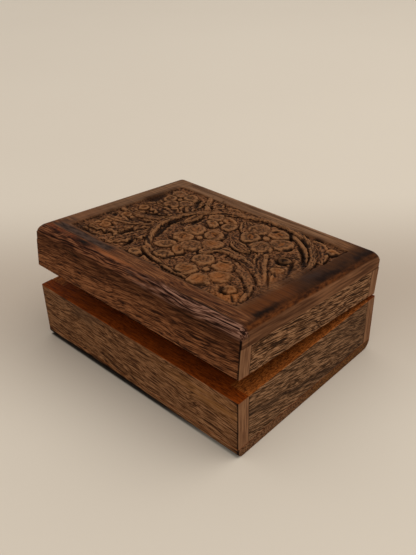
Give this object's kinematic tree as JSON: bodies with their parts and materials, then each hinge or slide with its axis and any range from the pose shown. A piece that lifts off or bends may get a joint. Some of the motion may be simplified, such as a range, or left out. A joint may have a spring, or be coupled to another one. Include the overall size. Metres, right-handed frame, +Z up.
{
  "type": "carved wooden box with hinged lid",
  "caption": "Small rectangular wooden keepsake box with a floral carved top, rabbeted corners and a lid on brass butt hinges, standing slightly ajar.",
  "frame": {"origin": "centre of the flat underside of the base", "axes": "+Z up, +X along the long front, the front faces -Y and the hinges are along the back rim at +Y"},
  "size_m": [0.1275, 0.0992, 0.0618],
  "materials": {
    "wood_boards": "waxed brown hardwood with open pores",
    "carved_top": "waxed brown hardwood, hand carved, dark in the cuts",
    "hinge_brass": "dulled brass sheet",
    "screw_brass": "turned brass"
  },
  "bodies": {
    "base": {"base_bottom_board": "wood_boards", "base_front_wall": "wood_boards", "base_back_wall": "wood_boards", "base_left_end_wall": "wood_boards", "base_right_end_wall": "wood_boards", "hinge_left_base_leaf": "hinge_brass", "hinge_left_base_screws": "screw_brass", "hinge_left_pin": "hinge_brass", "hinge_right_base_leaf": "hinge_brass", "hinge_right_base_screws": "screw_brass", "hinge_right_pin": "hinge_brass"},
    "lid": {"lid_top_board": "carved_top", "lid_front_wall": "wood_boards", "lid_back_wall": "wood_boards", "lid_left_end_wall": "wood_boards", "lid_right_end_wall": "wood_boards", "hinge_left_lid_leaf": "hinge_brass", "hinge_left_lid_screws": "screw_brass", "hinge_right_lid_leaf": "hinge_brass", "hinge_right_lid_screws": "screw_brass"}
  },
  "joints": [
    {"name": "lid_hinge", "type": "hinge", "parent": "base", "child": "lid", "pos_m": [0, 0.04855, 0.03045], "axis": [-1, 0, 0], "range_deg": [-6.2, 98]}
  ]
}
